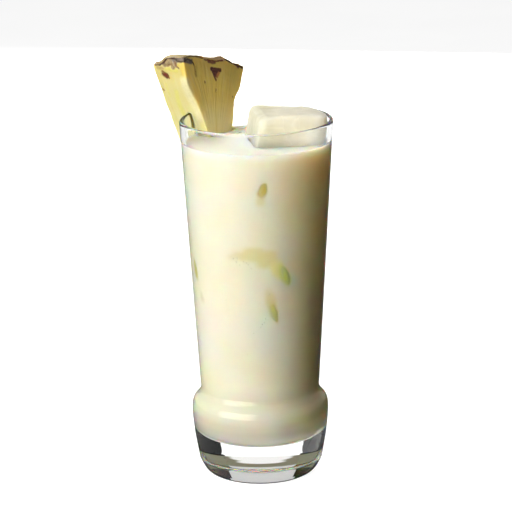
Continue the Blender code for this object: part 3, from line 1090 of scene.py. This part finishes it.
# Pieces of pineapple that touch the wall: azimuth, height, half width, half height, turn
bits = {
    "places": (
        (4.6, 147.0, 2.5, 5.0, -12),
        (24.2, 104.4, 2.5, 7.6, 20),
        (14.0, 86.6, 1.9, 7.2, 16),
        (-70.3, 103.6, 2.4, 7.0, 14),
    ),
    "colours": ((0.80, 0.58, 0.14), (1.0, 0.89, 0.22), (0.95, 0.84, 0.27), (0.60, 0.53, 0.16)),
    "veil": (0.88, 0.78, 0.34),  # the drink over their edges
    "fibre": (0.82, 0.74, 0.42),
    "depth": 0.0030,
    "show": 0.00010,  # how far a face stands out of the drink's side, into the wall
    "fall": 0.00035,  # how much less it does at its edge
}


def onWall(azimuth, height, outward):
    radius = innerRadius(height) + drink["intoWall"] + outward
    return Vector((radius * sin(azimuth), -radius * cos(azimuth), height))


def joinAll(pieces, name):
    startFresh()
    for piece in pieces:
        piece.select_set(True)
    bpy.context.view_layer.objects.active = pieces[0]
    bpy.ops.object.join()
    return nameIt(bpy.context.object, name)


def buildBits():
    chunks = []
    for place, tone in zip(bits["places"], bits["colours"]):
        azimuth, height, wide, high, turn = place
        startFresh()
        bpy.ops.mesh.primitive_uv_sphere_add(segments=40, ring_count=24, radius=1.0, location=(0, 0, 0))
        chunk = bpy.context.object
        veil = chunk.data.attributes.new("veil", "FLOAT", "POINT")
        own = chunk.data.attributes.new("bitColour", "FLOAT_COLOR", "POINT")
        lean = radians(turn)
        for vertex in chunk.data.vertices:
            u, depth, v = vertex.co
            out = min(1.0, hypot(u, v))
            rough = noise.noise(Vector((u * 2.2 + azimuth, v * 2.2, depth)))
            out = out * (1 + 0.12 * rough)
            u, v = u * (1 + 0.18 * rough), v * (1 - 0.10 * rough)
            across = (u * wide * cos(lean) - v * high * sin(lean)) / 1000
            up = (u * wide * sin(lean) + v * high * cos(lean)) / 1000
            outward = bits["show"] - bits["fall"] * out ** 3
            if depth > 0:
                outward = bits["show"] - bits["fall"] - bits["depth"] * depth
            angle = radians(azimuth) + across / drink["wallRadius"]
            vertex.co = onWall(angle, height / 1000 + up, outward)
            veil.data[vertex.index].value = out
            own.data[vertex.index].color = (*tone, 1.0)
        chunks.append(chunk)
    joined = joinAll(chunks, "sunkenPineapple")
    bpy.ops.object.mode_set(mode="EDIT")
    finishEdit()
    bpy.ops.object.shade_smooth()

    finish, tree, shader = newFinish("sunkenPineappleFinish")
    spot = objectSpot(tree)
    tone = addNode(tree, "Attribute", attribute_name="bitColour").outputs["Color"]
    out = addNode(tree, "Attribute", attribute_name="veil").outputs["Fac"]
    along = stretched(tree, spot, (1, 1, 0.2))
    fibre = ranged(tree, grain(tree, along, 900.0, 3.0), 0.35, 0.7, 0.0, 0.35)
    colour = mixed(tree, fibre, tone, bits["fibre"])
    film = ranged(tree, grain(tree, spot, 420.0, 3.0), 0.3, 0.7, -0.15, 0.15)
    edge = ranged(tree, maths(tree, "ADD", out, film), 0.20, 0.70, 0.10, 0.75)
    colour = mixed(tree, edge, colour, bits["veil"])
    tree.links.new(colour, shader.inputs["Base Color"])
    setShader(shader, Subsurface_Weight=1.0, Subsurface_Scale=0.006, Subsurface_Radius=(1.0, 0.6, 0.25))
    setShader(shader, Roughness=0.5, Specular_IOR_Level=0.0)
    joined.data.materials.append(finish)
    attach(joined, "root")
    print("bits:", len(joined.data.polygons), "faces")


buildBits()

# Bubbles at the wall, each with its azimuth, height and radius, and froth on the surface
bubbles = {
    "wall": (
        (-22.0, 113.2, 0.55), (-19.5, 111.6, 0.70), (-18.6, 113.6, 0.45), (-16.4, 110.2, 0.50),
        (-13.2, 112.0, 0.40), (-10.6, 111.4, 0.55), (-9.0, 110.6, 0.42), (-6.4, 108.6, 0.36),
        (5.6, 83.6, 0.50), (4.4, 81.8, 0.36), (2.4, 81.0, 0.42), (1.0, 79.6, 0.36), (-5.5, 76.6, 0.34),
        (-12.1, 65.8, 0.32), (9.0, 96.0, 0.28), (-31.0, 92.0, 0.26),
    ),
    "surface": ((39.0, 0.50), (47.0, 0.62), (52.0, 0.38), (44.0, 0.34), (60.0, 0.42)),
    "atWall": 0.0002,
    "offWall": 0.0014,
    "patch": (-8.8, 22.9),  # froth gathered behind, own X and Y in millimetres
    "patchSpread": 0.0022,
    "inPatch": 22,
    "froth": 46,
}


def addBubble(place, radius):
    startFresh()
    bpy.ops.mesh.primitive_ico_sphere_add(subdivisions=3, radius=radius, location=place)
    bpy.ops.object.transform_apply(location=True, rotation=True, scale=True)
    return bpy.context.object


def buildBubbles():
    level = drink["level"]
    made = []
    for azimuth, height, size in bubbles["wall"]:
        size = size / 1000
        made.append(addBubble(onWall(radians(azimuth), height / 1000, bubbles["atWall"] - size), size))
    for azimuth, size in bubbles["surface"]:
        size = size / 1000
        place = onWall(radians(azimuth), level + size * 0.2, -bubbles["offWall"] - size)
        made.append(addBubble(place, size))
    spread = bubbles["patchSpread"]
    for index in range(bubbles["froth"]):
        size = random.uniform(0.00022, 0.00055)
        if index < bubbles["inPatch"]:
            x = bubbles["patch"][0] / 1000 + random.gauss(0, spread)
            y = bubbles["patch"][1] / 1000 + random.gauss(0, spread)
            place = Vector((x, y, level + size * random.uniform(-0.2, 0.3)))
        else:
            angle = random.uniform(-pi, pi)
            inward = -0.0012 - size - abs(random.gauss(0, 0.0012))
            place = onWall(angle, level + size * 0.1, inward)
        made.append(addBubble(place, size))
    joined = joinAll(made, "frothBubbles")
    bpy.ops.object.shade_smooth()

    finish, tree, shader = newFinish("frothFinish")
    speckle = grain(tree, objectSpot(tree), 300.0, 2.0)
    colour = mixed(tree, speckle, (0.88, 0.84, 0.68), (0.96, 0.93, 0.82))
    facing = addNode(tree, "LayerWeight", {"Blend": 0.35}).outputs["Facing"]
    tree.links.new(colour, shader.inputs["Base Color"])
    tree.links.new(ranged(tree, facing, 0.2, 0.9, 0.10, 0.3), shader.inputs["Roughness"])
    setShader(shader, Subsurface_Weight=0.6, Subsurface_Scale=0.002, IOR=1.33)
    setShader(shader, Coat_Weight=0.6, Coat_Roughness=0.05)
    joined.data.materials.append(finish)
    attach(joined, "root")
    print("bubbles:", len(joined.data.polygons), "faces")


buildBubbles()
